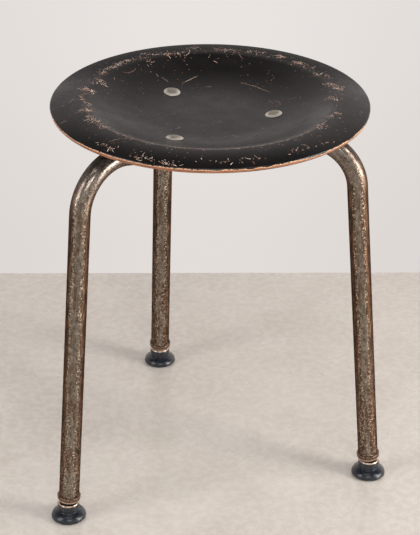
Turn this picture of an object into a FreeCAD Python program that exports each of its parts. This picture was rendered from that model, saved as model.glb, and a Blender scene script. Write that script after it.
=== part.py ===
import FreeCAD, Part
import math
import os

from FreeCAD import Vector

# A three-legged machinist stool with a dished seat, in millimetres and degrees. +Z is up, the floor
# is at Z = 0, and the axis that the three legs share is the Z axis. +X points right in a front view.

# Seat: one moulded plywood dish, turned about its own upright axis
seat_radius = 170.0
seat_thickness = 6.0
crest_radius = 135.2
crest_height = 440.3
rim_drop = 5.6
dish_depth = 21.4
flank_angle = 23.0
bowl_round = 150.0
crest_round = 20.0
rim_edge_round = 1.8
seat_shift = 9.8

# Legs: bent steel tube, one third of a turn apart
leg_names = ("right", "back", "left")
leg_azimuth = -15.2
glide_circle_radius = 200.4
leg_splay = 4.64
tube_radius = 11.1
tube_wall = 1.5
bend_crown_drop = 32.3
bend_radius = 53.0
top_run_slope = 13.0

# Hub: a pressed steel cap under the dish, with the legs welded to its skirt
hub_radius = 86.0
hub_thickness = 3.0
hub_flat_radius = 48.0
hub_skirt_height = 17.9
hub_corner_round = 4.5
hub_hole_radius = 15.0
hub_gap = 1.6

# Bolts that hold the dish to the hub, square to the dish where they pass it
bolt_circle_radius = 71.2
bolt_circle_shift = 6.3
bolt_azimuth = 2.5
bolt_radius = 4.0
bolt_length = 25.0
bolt_head_radius = 9.9
bolt_head_height = 3.5
bolt_head_land = 0.5
bolt_head_bed = 0.45
bolt_hole_clearance = 0.3
pad_radius = 10.0
washer_radius = 8.5
washer_thickness = 1.6
spring_washer_radius = 7.4
spring_washer_thickness = 2.0
spring_washer_slot = 1.5
nut_across_flats = 13.0
nut_height = 6.5
thread_clearance = 0.05

# Leg ends: collar outside the tube, plug with a ball stud inside it
tube_end_height = 23.5
collar_height = 5.3
collar_thickness = 1.3
collar_edge_round = 0.6
plug_length = 18.0
plug_lip_radius = 9.9
plug_lip_height = 1.6
press_clearance = 0.05
stem_radius = 3.5
ball_radius = 6.0
ball_height = 11.5

# Glides: a cup that tilts on the ball, in a base that turns on the cup
ball_clearance = 0.3
cup_radius = 8.2
cup_floor_height = 4.4
cup_rim_height = 17.9
cup_mouth_radius = 5.0
cup_flare = 1.6
spin_clearance = 0.07
base_radius = 19.0
base_edge_radius = 17.6
base_lip_height = 2.8
base_foot_height = 0.6
dome_height = 9.5
neck_radius = 11.3
neck_top_height = 18.2
ring_radius = 10.9
ring_bore_radius = 7.4
ring_thickness = 1.7
sole_radius = 15.0
sole_thickness = 2.4

floor_height = crest_height - dish_depth
bend_crown_height = crest_height - bend_crown_drop
third_of_turn = 360.0 / len(leg_names)
match_tolerance = 0.01


def radians_sin_cos(degrees):
    """Sine and cosine of an angle in degrees."""
    angle = math.radians(degrees)
    return math.sin(angle), math.cos(angle)


def line(start, end):
    """Straight edge between two points."""
    return Part.LineSegment(start, end).toShape()


def arc(centre, radius, from_angle, to_angle):
    """Arc edge in the XZ plane; angles are in degrees from +X towards +Z."""
    points = []
    for angle in (from_angle, (from_angle + to_angle) / 2, to_angle):
        s, c = radians_sin_cos(angle)
        points.append(Vector(centre.x + radius * c, 0, centre.z + radius * s))
    return Part.Arc(*points).toShape()


def end_of(edge, last=True):
    """One end point of an edge, in the direction that it was drawn."""
    return edge.valueAt(edge.LastParameter if last else edge.FirstParameter)


def polygon(points):
    """Closed outline through (radius, height) pairs."""
    corners = [Vector(r, 0, z) for r, z in points]
    corners.append(corners[0])
    return Part.makePolygon(corners)


def turned(outline, shift=0.0):
    """Solid made by turning a closed outline about the upright axis at X = shift."""
    solid = Part.Face(outline).revolve(Vector(0, 0, 0), Vector(0, 0, 1), 360)
    solid.translate(Vector(shift, 0, 0))
    return solid


def disc(radius, height, bottom=0.0, bore=0.0):
    """Upright disc or ring with its lower face at the height given."""
    solid = Part.makeCylinder(radius, height, Vector(0, 0, bottom))
    if bore > 0:
        hole = Part.makeCylinder(bore, height, Vector(0, 0, bottom))
        solid = solid.cut(hole)
    return solid


def circles(solid, wanted):
    """The circular edges of a solid whose curve passes a test."""
    return [edge for edge in solid.Edges if isinstance(edge.Curve, Part.Circle) and wanted(edge.Curve)]


def dish_rounds():
    """Floor radius of the dish and the length of its straight flank, from the driving sizes."""
    s, c = radians_sin_cos(flank_angle)
    rounds = bowl_round + crest_round
    flank = (dish_depth - rounds * (1 - c)) / s
    floor_radius = crest_radius - rounds * s - flank * c
    return floor_radius, flank


def dish_surface_height(radius):
    """Height of the dish's upper face at a distance from its own axis, inside the crest."""
    s, c = radians_sin_cos(flank_angle)
    floor_radius, flank = dish_rounds()
    if radius <= floor_radius:
        return floor_height
    out = radius - floor_radius
    if out <= bowl_round * s:
        return floor_height + bowl_round - math.sqrt(bowl_round**2 - out**2)
    return floor_height + bowl_round * (1 - c) + (out - bowl_round * s) * s / c


def dish_slope(radius):
    """Slope of the dish's upper face in degrees at a distance from its own axis."""
    floor_radius, _ = dish_rounds()
    out = max(radius - floor_radius, 0.0)
    return min(math.degrees(math.asin(out / bowl_round)), flank_angle)


def seat_face_edges(depth):
    """Edges of the dish's face that lies a depth under its upper face, from the axis outwards."""
    floor_radius, _ = dish_rounds()
    rim_run = seat_radius - crest_radius
    rim_round = (rim_run**2 + rim_drop**2) / (2 * rim_drop)
    rim_angle = math.degrees(math.asin(rim_run / rim_round))
    bowl_centre = Vector(floor_radius, 0, floor_height + bowl_round)
    crest_centre = Vector(crest_radius, 0, crest_height - crest_round)
    rim_centre = Vector(crest_radius, 0, crest_height - rim_round)
    bowl = arc(bowl_centre, bowl_round + depth, 270, 270 + flank_angle)
    crest = arc(crest_centre, crest_round - depth, 90 + flank_angle, 90)
    rim = arc(rim_centre, rim_round - depth, 90, 90 - rim_angle)
    floor = line(Vector(0, 0, floor_height - depth), end_of(bowl, last=False))
    flank = line(end_of(bowl), end_of(crest, last=False))
    return [floor, bowl, flank, crest, rim]


def seat_blank():
    """The dish before its bolt holes."""
    upper = seat_face_edges(0.0)
    lower = seat_face_edges(seat_thickness)
    rim_edge = line(end_of(upper[-1]), end_of(lower[-1]))
    axis_edge = line(end_of(lower[0], last=False), end_of(upper[0], last=False))
    outline = Part.Wire(Part.__sortEdges__(upper + [rim_edge] + lower + [axis_edge]))
    blank = turned(outline)
    corners = circles(blank, lambda curve: curve.Radius > seat_radius - seat_thickness)
    blank = blank.makeFillet(rim_edge_round, corners)
    blank.translate(Vector(seat_shift, 0, 0))
    return blank


def bolt_places():
    """For each bolt: where its axis meets the dish's upper face, the way its head looks, and the
    distance along its axis from the dish's upper face down to the hub's."""
    slope = dish_slope(bolt_circle_radius)
    slope_sin, slope_cos = radians_sin_cos(slope)
    places = []
    for index in range(len(leg_names)):
        s, c = radians_sin_cos(bolt_azimuth + index * third_of_turn)
        x = bolt_circle_shift + bolt_circle_radius * c
        y = bolt_circle_radius * s
        height = dish_surface_height(math.hypot(x - seat_shift, y))
        foot = Vector(x, y, height)
        axis = Vector(-slope_sin * c, -slope_sin * s, slope_cos)
        on_hub = Vector(bolt_circle_shift + hub_flat_radius * c, hub_flat_radius * s, hub_top())
        places.append((foot, axis, (foot - on_hub).dot(axis)))
    return places


def placed_on_bolt(shape, place, drop=0.0):
    """Copy of a shape drawn on the Z axis, moved to a bolt and sunk along its axis."""
    foot, axis, _ = place
    turn = FreeCAD.Rotation(Vector(0, 0, 1), axis)
    copy = shape.copy()
    copy.Placement = FreeCAD.Placement(foot - axis * drop, turn)
    return copy


def bolt_head():
    """Smooth domed bolt head that sits on Z = 0."""
    rise = bolt_head_height - bolt_head_land
    sphere_radius = (bolt_head_radius**2 + rise**2) / (2 * rise)
    centre = Vector(0, 0, bolt_head_height - sphere_radius)
    edge_angle = math.degrees(math.acos(bolt_head_radius / sphere_radius))
    dome = arc(centre, sphere_radius, edge_angle, 90)
    land_top = end_of(dome, last=False)
    land_foot = Vector(bolt_head_radius, 0, 0)
    origin = Vector(0, 0, 0)
    edges = [line(origin, land_foot), line(land_foot, land_top), dome, line(end_of(dome), origin)]
    return turned(Part.Wire(edges))


def seat_bolt():
    """Domed bolt with the underside of its head at Z = 0."""
    shank = Part.makeCylinder(bolt_radius, bolt_length, Vector(0, 0, -bolt_length))
    return bolt_head().fuse(shank).removeSplitter()


def seat_shell(places):
    """The dish with a hole and a shallow bed for each bolt."""
    shell = seat_blank()
    hole_radius = bolt_radius + bolt_hole_clearance
    reach = 2 * seat_thickness
    for place in places:
        hole = Part.makeCylinder(hole_radius, 2 * reach, Vector(0, 0, -reach))
        shell = shell.cut(placed_on_bolt(hole, place))
        shell = shell.cut(placed_on_bolt(bolt_head(), place, bolt_head_bed))
    return shell


def hub_top():
    """Height of the hub's flat upper face, from the gap that its sloping band leaves at the bolts."""
    slope = math.radians(dish_slope(bolt_circle_radius))
    band = dish_surface_height(bolt_circle_radius) - (seat_thickness + hub_gap) / math.cos(slope)
    return band - (bolt_circle_radius - hub_flat_radius) * math.tan(slope)


def hub_block(radius, flat_radius, top, foot, corner_round):
    """Solid block with a flat middle, a band as steep as the dish at the bolts, and a round corner."""
    slope = math.radians(dish_slope(bolt_circle_radius))
    edge_height = top + (radius - flat_radius) * math.tan(slope)
    points = [(0, top), (flat_radius, top), (radius, edge_height), (radius, foot), (0, foot)]
    block = turned(polygon(points), bolt_circle_shift)
    corner = circles(block, lambda curve: abs(curve.Center.z - edge_height) < match_tolerance)
    return block.makeFillet(corner_round, corner)


def hub_envelope(foot_drop=0.0):
    """The room that the hub takes, filled in, with its foot lowered by the drop given."""
    top = hub_top()
    foot = top - hub_skirt_height - foot_drop
    return hub_block(hub_radius, hub_flat_radius, top, foot, hub_corner_round)


def hub_cap(places):
    """Pressed cap: a flat middle, a band square to the bolts, and a skirt for the legs."""
    slope = math.radians(dish_slope(bolt_circle_radius))
    top = hub_top()
    inside_top = top - hub_thickness
    inside_flat = hub_flat_radius + hub_thickness * math.tan(slope / 2)
    inside_round = hub_corner_round - hub_thickness
    foot = top - hub_skirt_height
    hollow = hub_block(hub_radius - hub_thickness, inside_flat, inside_top, foot, inside_round)
    cap = hub_envelope().cut(hollow)
    middle_hole = disc(hub_hole_radius, hub_thickness, inside_top)
    middle_hole.translate(Vector(bolt_circle_shift, 0, 0))
    cap = cap.cut(middle_hole)
    margin = hub_thickness
    hole_radius = bolt_radius + bolt_hole_clearance
    for place in places:
        hole_foot = -place[2] - hub_thickness - margin
        hole = disc(hole_radius, hub_thickness + 2 * margin, hole_foot)
        cap = cap.cut(placed_on_bolt(hole, place))
    return cap


def seat_pad(place, shell, envelope):
    """Rubber pad round a bolt, between the hub and the dish."""
    over = seat_thickness / 2
    length = place[2] - seat_thickness + over
    bore = bolt_radius + bolt_hole_clearance
    blank = disc(pad_radius, length + over, -place[2] - over, bore)
    return placed_on_bolt(blank, place).cut(shell).cut(envelope)


def washer():
    """Flat washer with its upper face at Z = 0."""
    return disc(washer_radius, washer_thickness, -washer_thickness, bolt_radius + bolt_hole_clearance)


def spring_washer():
    """Split washer with its upper face at Z = 0."""
    foot = -spring_washer_thickness
    bore = bolt_radius + bolt_hole_clearance
    ring = disc(spring_washer_radius, spring_washer_thickness, foot, bore)
    slot_corner = Vector(0, -spring_washer_slot / 2, foot)
    slot = Part.makeBox(spring_washer_radius, spring_washer_slot, spring_washer_thickness, slot_corner)
    return ring.cut(slot)


def nut():
    """Hexagon nut with its upper face at Z = 0."""
    corner_radius = nut_across_flats / 2 / math.cos(math.radians(30))
    corners = []
    for index in range(7):
        s, c = radians_sin_cos(60 * index)
        corners.append(Vector(corner_radius * c, corner_radius * s, -nut_height))
    prism = Part.Face(Part.makePolygon(corners)).extrude(Vector(0, 0, nut_height))
    return prism.cut(disc(bolt_radius + thread_clearance, nut_height, -nut_height))


def turned_to_leg(shape, index):
    """Copy of a shape drawn in the XZ plane of the first leg, turned to the leg's place."""
    copy = shape.copy()
    copy.rotate(Vector(0, 0, 0), Vector(0, 0, 1), leg_azimuth + index * third_of_turn)
    return copy


def ball_centre():
    """Centre of the ball joint of the leg drawn in the XZ plane."""
    return Vector(glide_circle_radius, 0, ball_height)


def up_the_leg(distance):
    """Point on the axis of the straight leg, a distance up from the ball's centre."""
    s, c = radians_sin_cos(leg_splay)
    return ball_centre() + Vector(-s, 0, c) * distance


def set_on_leg(shape, distance):
    """Copy of a shape drawn on the Z axis, set on the leg's axis a distance up from the ball."""
    copy = shape.copy()
    turn = FreeCAD.Rotation(Vector(0, 1, 0), -leg_splay)
    copy.Placement = FreeCAD.Placement(up_the_leg(distance), turn)
    return copy


def tube_end_distance():
    """Distance along the leg's axis from the ball's centre to the tube's lower end."""
    _, c = radians_sin_cos(leg_splay)
    return (tube_end_height - ball_height) / c


def leg_path():
    """Centre line of a leg: straight leg, one bend, and a top run that dips under the dish."""
    s, c = radians_sin_cos(leg_splay)
    arc_height = bend_crown_height - bend_radius
    tangent_height = arc_height + bend_radius * s
    tangent = up_the_leg((tangent_height - ball_height) / c)
    centre = Vector(tangent.x - bend_radius * c, 0, arc_height)
    bend = arc(centre, bend_radius, leg_splay, 90 + top_run_slope)
    run_start = end_of(bend)
    run_sin, run_cos = radians_sin_cos(top_run_slope)
    run_length = run_start.x / run_cos - hub_flat_radius
    run_end = run_start - Vector(run_cos, 0, run_sin) * run_length
    straight_leg = line(up_the_leg(tube_end_distance()), end_of(bend, last=False))
    return Part.Wire([straight_leg, bend, line(run_start, run_end)])


def leg_tube(index, cope):
    """One bent tube, its inner end coped by the body given, which has the outline of the hub's skirt."""
    path = leg_path()
    start = up_the_leg(tube_end_distance())
    s, c = radians_sin_cos(leg_splay)
    along = Vector(-s, 0, c)
    solids = []
    for radius in (tube_radius, tube_radius - tube_wall):
        ring = Part.Wire(Part.Circle(start, along, radius).toShape())
        solids.append(path.makePipe(Part.Face(ring)))
    tube = turned_to_leg(solids[0].cut(solids[1]), index).cut(cope)
    return max(tube.Solids, key=lambda solid: solid.Volume)


def leg_collar():
    """Steel collar round the tube's lower end, its foot on Z = 0."""
    bore = tube_radius + press_clearance
    radius = bore + collar_thickness
    ring = disc(radius, collar_height, 0, bore)
    rims = circles(ring, lambda curve: abs(curve.Radius - radius) < match_tolerance)
    return ring.makeFillet(collar_edge_round, rims)


def ball_stud():
    """Plug, lip, stem and ball in one, with the ball's centre at the origin."""
    tube_end = tube_end_distance()
    plug = disc(tube_radius - tube_wall - press_clearance, plug_length, tube_end)
    lip = disc(plug_lip_radius, plug_lip_height, tube_end - plug_lip_height)
    stem = disc(stem_radius, tube_end)
    ball = Part.makeSphere(ball_radius)
    return plug.fuse([lip, stem, ball]).removeSplitter()


def swivel_cup():
    """Moulded cup that snaps over the ball, drawn at its height above the floor."""
    cavity_radius = ball_radius + ball_clearance
    mouth_height = ball_height + math.sqrt(cavity_radius**2 - cup_mouth_radius**2)
    body = disc(cup_radius, cup_rim_height - cup_floor_height, cup_floor_height)
    cavity = Part.makeSphere(cavity_radius, Vector(0, 0, ball_height))
    mouth = Vector(0, 0, mouth_height)
    flare_height = cup_rim_height - mouth_height
    flare = Part.makeCone(cup_mouth_radius, cup_mouth_radius + cup_flare, flare_height, mouth)
    return body.cut(cavity).cut(flare)


def glide_base():
    """Black moulded foot: lip, dome and neck, with a bore for the cup and a recess for the sole."""
    bore = cup_radius + spin_clearance
    shoulder = math.sqrt(1 - (neck_radius / base_radius) ** 2)
    mid_angle = math.asin(shoulder) / 2
    mid_radius = base_radius * math.cos(mid_angle)
    mid_height = base_lip_height + dome_height * math.sin(mid_angle)
    lip_overhang = base_radius - base_edge_radius
    lip_foot = Vector(base_edge_radius, 0, base_foot_height)
    lip_mid = Vector(base_radius - lip_overhang / 4, 0, (base_foot_height + base_lip_height) / 2)
    lip_top = Vector(base_radius, 0, base_lip_height)
    dome_mid = Vector(mid_radius, 0, mid_height)
    dome_end = Vector(neck_radius, 0, base_lip_height + dome_height * shoulder)
    corners = [
        dome_end,
        Vector(neck_radius, 0, neck_top_height),
        Vector(bore, 0, neck_top_height),
        Vector(bore, 0, cup_floor_height),
        Vector(0, 0, cup_floor_height),
        Vector(0, 0, sole_thickness),
        Vector(sole_radius, 0, sole_thickness),
        Vector(sole_radius, 0, base_foot_height),
        lip_foot,
    ]
    lip = Part.Arc(lip_foot, lip_mid, lip_top).toShape()
    dome = Part.Arc(lip_top, dome_mid, dome_end).toShape()
    edges = [lip, dome]
    for start, end in zip(corners, corners[1:]):
        edges.append(line(start, end))
    return turned(Part.Wire(edges))


def glide_parts():
    """The pieces of one glide that tilt or turn, each drawn on the Z axis at its height."""
    return {
        "swivel_cup": swivel_cup(),
        "glide_base": glide_base(),
        "glide_ring": disc(ring_radius, ring_thickness, neck_top_height, ring_bore_radius),
        "sole_pad": disc(sole_radius, sole_thickness),
    }


def stool():
    """Every piece of the stool by name."""
    places = bolt_places()
    envelope = hub_envelope()
    cope = hub_envelope(2 * tube_radius)
    shell = seat_shell(places)
    parts = {"seat_shell": shell, "hub_cap": hub_cap(places)}
    groups = {"seat_washers": [], "seat_spring_washers": [], "seat_nuts": []}
    for name, place in zip(leg_names, places):
        parts[f"seat_bolt_{name}"] = placed_on_bolt(seat_bolt(), place, bolt_head_bed)
        parts[f"seat_pad_{name}"] = seat_pad(place, shell, envelope)
        depth = place[2] + hub_thickness
        groups["seat_washers"].append(placed_on_bolt(washer(), place, depth))
        depth += washer_thickness
        groups["seat_spring_washers"].append(placed_on_bolt(spring_washer(), place, depth))
        depth += spring_washer_thickness
        groups["seat_nuts"].append(placed_on_bolt(nut(), place, depth))
    for name, solids in groups.items():
        parts[name] = Part.makeCompound(solids)
    for index, name in enumerate(leg_names):
        collar = set_on_leg(leg_collar(), tube_end_distance())
        parts[f"leg_{name}"] = leg_tube(index, cope)
        parts[f"leg_collar_{name}"] = turned_to_leg(collar, index)
        parts[f"ball_stud_{name}"] = turned_to_leg(set_on_leg(ball_stud(), 0), index)
        for piece, shape in glide_parts().items():
            moved = shape.copy()
            moved.translate(Vector(glide_circle_radius, 0, 0))
            parts[f"{piece}_{name}"] = turned_to_leg(moved, index)
    return parts


os.makedirs("parts", exist_ok=True)
for part_name, part_shape in stool().items():
    part_shape.exportStep(f"parts/{part_name}.step")
    print(part_name, part_shape.isValid(), len(part_shape.Solids), round(part_shape.Volume, 1))
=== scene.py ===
import math
import random

import bmesh
import bpy
import numpy as np
from mathutils import Matrix, Vector


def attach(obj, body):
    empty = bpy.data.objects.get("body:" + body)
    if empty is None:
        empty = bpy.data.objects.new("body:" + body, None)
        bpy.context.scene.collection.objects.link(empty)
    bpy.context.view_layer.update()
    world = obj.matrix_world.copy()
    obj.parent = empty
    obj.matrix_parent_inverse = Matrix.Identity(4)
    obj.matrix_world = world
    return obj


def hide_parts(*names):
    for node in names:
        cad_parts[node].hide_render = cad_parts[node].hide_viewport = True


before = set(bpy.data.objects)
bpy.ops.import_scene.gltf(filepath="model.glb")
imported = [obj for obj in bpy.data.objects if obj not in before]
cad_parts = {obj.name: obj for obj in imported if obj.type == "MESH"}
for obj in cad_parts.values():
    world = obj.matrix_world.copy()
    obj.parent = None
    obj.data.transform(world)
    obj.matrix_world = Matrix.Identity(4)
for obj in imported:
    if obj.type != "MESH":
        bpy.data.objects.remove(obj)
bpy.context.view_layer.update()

# Sizes in millimetres and degrees, as in the part's own source
SEAT_RADIUS, SEAT_THICKNESS, SEAT_SHIFT = 170.0, 6.0, 9.8
CREST_RADIUS, CREST_HEIGHT, CREST_ROUND = 135.2, 440.3, 20.0
RIM_DROP, DISH_DEPTH, FLANK_ANGLE, BOWL_ROUND = 5.6, 21.4, 23.0, 150.0
RIM_EDGE_ROUND = 1.8
LEG_NAMES = ("right", "back", "left")
LEG_AZIMUTH, GLIDE_CIRCLE, LEG_SPLAY = -15.2, 200.4, 4.64
TUBE_RADIUS, BEND_CROWN, BEND_RADIUS, TOP_RUN_SLOPE = 11.1, 408.0, 53.0, 13.0
HUB_RADIUS = 86.0
BOLT_CIRCLE, BOLT_SHIFT, BOLT_AZIMUTH = 71.2, 6.3, 2.5
BOLT_RADIUS, BOLT_LENGTH = 4.0, 25.0
HEAD_RADIUS, HEAD_HEIGHT, HEAD_LAND, HEAD_BED = 9.9, 3.5, 0.5, 0.45
TUBE_END_HEIGHT, BALL_HEIGHT = 23.5, 11.5
COLLAR_HEIGHT, COLLAR_THICKNESS, PRESS = 5.3, 1.3, 0.05
BASE_RADIUS, BASE_EDGE_RADIUS, BASE_LIP, BASE_FOOT = 19.0, 17.6, 2.8, 0.6
DOME_HEIGHT, NECK_RADIUS, NECK_TOP = 9.5, 11.3, 18.2
RING_RADIUS, RING_BORE, RING_THICKNESS = 10.9, 7.4, 1.7
SOLE_RADIUS = 15.0
CUP_RADIUS, CUP_FLOOR, SPIN, FLOOR_GAP = 8.2, 4.4, 0.07, 0.05
THIRD = 120.0
FLOOR_HEIGHT = CREST_HEIGHT - DISH_DEPTH
MM = 0.001

# Counts, steps, seeds and finer sizes of the meshes alone
CORNER_STEPS = 5
SEAT_SEGMENTS = 360
FLOOR_STEPS, FACE_STEPS, UNDER_STEPS, PLY_STEPS = 8, 18, 10, 8
SCRATCH_SEED, SCRATCH_STEP, MARK_STEP, SCRATCH_LIFT, SCRATCH_MARGIN = 11, 0.7, 1.5, 0.03, 2.5
TUBE_SEGMENTS, RUN_STEPS, BEND_STEPS, COPE_STEPS = 64, 90, 48, 6
BEAD_SEED, BEAD_RADIUS, BEAD_RIPPLE, BEAD_STEPS, BEAD_SIDES = 40, 1.25, 0.22, 4, 10
THREAD_TOP, THREAD_PITCH, THREAD_DEPTH, THREAD_RISE, THREAD_TAIL = -15.0, 1.25, 0.6, 1.1, 1.2
LIP_EXTRA, DOME_STEPS = 0.8, 14

# Distance from one leg's stretch of the pattern to the next one's
LEG_RUN = 900.0


# Mesh helpers

def sin_cos(degrees):
    angle = math.radians(degrees)
    return math.sin(angle), math.cos(angle)


def arc_points(centre, radius, start, end, count):
    """Points on an arc in the (radius, height) plane, angles in degrees."""
    points = []
    for i in range(count + 1):
        s, c = sin_cos(start + (end - start) * i / count)
        points.append((centre[0] + radius * c, centre[1] + radius * s))
    return points


def rounded(corners):
    """Outline through (radius, height, rounding) corners, with each rounding as an arc."""
    points = []
    for i, (x, z, size) in enumerate(corners):
        here = Vector((x, z))
        if size <= 0 or i in (0, len(corners) - 1):
            points.append((x, z))
            continue
        before = (Vector(corners[i - 1][:2]) - here).normalized()
        after = (Vector(corners[i + 1][:2]) - here).normalized()
        half = before.angle(after) / 2
        cut = size / math.tan(half)
        centre = here + (before + after).normalized() * (size / math.sin(half))
        start = here + before * cut - centre
        end = here + after * cut - centre
        for k in range(CORNER_STEPS + 1):
            points.append(tuple(centre + start.slerp(end, k / CORNER_STEPS)))
    return points


def new_object(name, data):
    obj = bpy.data.objects.new(name, data)
    bpy.context.scene.collection.objects.link(obj)
    return obj


def mesh_object(name, verts, faces, sharp=40.0):
    """Object from points in millimetres, smooth but for edges sharper than the angle."""
    mesh = bpy.data.meshes.new(name)
    mesh.from_pydata([Vector(v) * MM for v in verts], [], faces)
    work = bmesh.new()
    work.from_mesh(mesh)
    bmesh.ops.remove_doubles(work, verts=work.verts, dist=1e-7)
    bmesh.ops.recalc_face_normals(work, faces=work.faces)
    for face in work.faces:
        face.smooth = True
    limit = math.radians(sharp)
    for edge in work.edges:
        if len(edge.link_faces) == 2 and edge.calc_face_angle() > limit:
            edge.smooth = False
    work.to_mesh(mesh)
    work.free()
    return new_object(name, mesh)


def lathe(name, outline, segments, place, sharp=40.0):
    """Object made by turning an outline of (radius, height) points about Z."""
    verts, faces, rows = [], [], []
    for r, z in outline:
        row = []
        if r < 1e-6:
            row = [len(verts)] * segments
            verts.append((0.0, 0.0, z))
        else:
            for i in range(segments):
                s, c = sin_cos(360.0 * i / segments)
                row.append(len(verts))
                verts.append((r * c, r * s, z))
        rows.append(row)
    for low, high in zip(rows, rows[1:]):
        for i in range(segments):
            j = (i + 1) % segments
            ring = []
            for v in (low[i], low[j], high[j], high[i]):
                if v not in ring:
                    ring.append(v)
            if len(ring) > 2:
                faces.append(ring)
    obj = mesh_object(name, verts, faces, sharp)
    spans = {"reach": [math.hypot(v.co.x, v.co.y) / MM for v in obj.data.vertices],
             "level": [v.co.z / MM for v in obj.data.vertices]}
    for key, values in spans.items():
        obj.data.attributes.new(key, "FLOAT", "POINT").data.foreach_set("value", values)
    moved = place.copy()
    moved.translation = place.translation * MM
    obj.data.transform(moved)
    return obj


def swept(name, rings, loop=False, sharp=40.0):
    """Object from rings of points, each joined to the next, closed at both ends or in a loop."""
    verts = [p for ring in rings for p in ring]
    n = len(rings[0])
    faces = []
    last = len(rings) if loop else len(rings) - 1
    for a in range(last):
        b = (a + 1) % len(rings)
        for i in range(n):
            j = (i + 1) % n
            faces.append((a * n + i, a * n + j, b * n + j, b * n + i))
    if not loop:
        faces.append(tuple(range(n)))
        faces.append(tuple((len(rings) - 1) * n + i for i in range(n)))
    return mesh_object(name, verts, faces, sharp)


# Shader helpers

class Graph:
    """A material built from nodes, with values or sockets given as inputs."""

    def __init__(self, name):
        self.material = bpy.data.materials.new(name)
        self.material.use_nodes = True
        self.tree = self.material.node_tree
        self.shader = self.tree.nodes["Principled BSDF"]

    def node(self, kind, inputs=None, **settings):
        made = self.tree.nodes.new(kind)
        for key, value in settings.items():
            setattr(made, key, value)
        for key, value in (inputs or {}).items():
            self.feed(made.inputs[key], value)
        return made

    def feed(self, socket, value):
        if isinstance(value, bpy.types.NodeSocket):
            self.tree.links.new(value, socket)
        elif isinstance(value, tuple) and len(value) == 3 and socket.type == "RGBA":
            socket.default_value = (*value, 1.0)
        else:
            socket.default_value = value

    def set(self, **inputs):
        for key, value in inputs.items():
            self.feed(self.shader.inputs[key.replace("_", " ")], value)

    def math(self, operation, a, b=0.0, clamp=False):
        made = self.node("ShaderNodeMath", {0: a, 1: b}, operation=operation, use_clamp=clamp)
        return made.outputs[0]

    def times(self, a, b):
        return self.math("MULTIPLY", a, b)

    def plus(self, a, b):
        return self.math("ADD", a, b)

    def minus(self, a, b):
        return self.math("SUBTRACT", a, b)

    def vector_math(self, operation, a, b=(0, 0, 0)):
        made = self.node("ShaderNodeVectorMath", {0: a, 1: b}, operation=operation)
        return made.outputs["Value" if operation == "LENGTH" else "Vector"]

    def place(self):
        """Position on the object in millimetres."""
        coords = self.node("ShaderNodeTexCoord").outputs["Object"]
        return self.vector_math("MULTIPLY", coords, (1000, 1000, 1000))

    def parts(self, vector):
        made = self.node("ShaderNodeSeparateXYZ", {0: vector})
        return made.outputs[0], made.outputs[1], made.outputs[2]

    def joined(self, x, y, z):
        return self.node("ShaderNodeCombineXYZ", {0: x, 1: y, 2: z}).outputs[0]

    def noise(self, vector, scale, detail=3.0, roughness=0.55, distortion=0.0):
        made = self.node("ShaderNodeTexNoise", {
            "Vector": vector, "Scale": scale, "Detail": detail,
            "Roughness": roughness, "Distortion": distortion})
        return made.outputs["Fac"]

    def spots(self, vector, scale):
        """Distance to the nearest of many scattered points."""
        made = self.node("ShaderNodeTexVoronoi", {"Vector": vector, "Scale": scale})
        return made.outputs["Distance"]

    def attribute(self, name):
        return self.node("ShaderNodeAttribute", attribute_name=name).outputs["Fac"]

    def step(self, value, low, high, to_low=0.0, to_high=1.0):
        """Smooth change from one value to another between two limits."""
        return self.node("ShaderNodeMapRange", {
            "Value": value, "From Min": low, "From Max": high, "To Min": to_low, "To Max": to_high},
            interpolation_type="SMOOTHSTEP").outputs["Result"]

    def mix(self, factor, a, b):
        made = self.node("ShaderNodeMix", data_type="RGBA")
        self.feed(made.inputs["Factor"], factor)
        self.feed(made.inputs[6], a)
        self.feed(made.inputs[7], b)
        return made.outputs[2]

    def blend(self, factor, a, b):
        """Mix of two numbers."""
        made = self.node("ShaderNodeMix", data_type="FLOAT")
        self.feed(made.inputs["Factor"], factor)
        self.feed(made.inputs[2], a)
        self.feed(made.inputs[3], b)
        return made.outputs[0]

    def ramp(self, factor, stops):
        made = self.node("ShaderNodeValToRGB", {0: factor})
        band = made.color_ramp
        while len(band.elements) < len(stops):
            band.elements.new(0.5)
        for element, (position, colour) in zip(band.elements, stops):
            element.position = position
            element.color = (*colour, 1.0)
        return made.outputs[0]

    def bump(self, height, distance, strength):
        inputs = {"Height": height, "Distance": distance, "Strength": strength}
        return self.node("ShaderNodeBump", inputs).outputs[0]


def paint(obj, material):
    obj.data.materials.clear()
    obj.data.materials.append(material)


def paint_node(name, material):
    """Gives a carried-over piece a material in all its slots."""
    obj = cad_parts[name]
    if not obj.data.materials:
        obj.data.materials.append(material)
    for i in range(len(obj.data.materials)):
        obj.data.materials[i] = material
        if i < len(obj.material_slots):
            obj.material_slots[i].material = material


# Seat

def dish_rounds():
    """Radius of the dish's flat floor."""
    s, c = sin_cos(FLANK_ANGLE)
    rounds = BOWL_ROUND + CREST_ROUND
    flank = (DISH_DEPTH - rounds * (1 - c)) / s
    return CREST_RADIUS - rounds * s - flank * c


def dish_height(radius):
    """Height of the dish's upper face inside its crest."""
    s, c = sin_cos(FLANK_ANGLE)
    out = max(radius - dish_rounds(), 0.0)
    if out <= BOWL_ROUND * s:
        return FLOOR_HEIGHT + BOWL_ROUND - math.sqrt(BOWL_ROUND ** 2 - out ** 2)
    return FLOOR_HEIGHT + BOWL_ROUND * (1 - c) + (out - BOWL_ROUND * s) * s / c


def rim_curve():
    """Radius of the outer band's curve."""
    return ((SEAT_RADIUS - CREST_RADIUS) ** 2 + RIM_DROP ** 2) / (2 * RIM_DROP)


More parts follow.
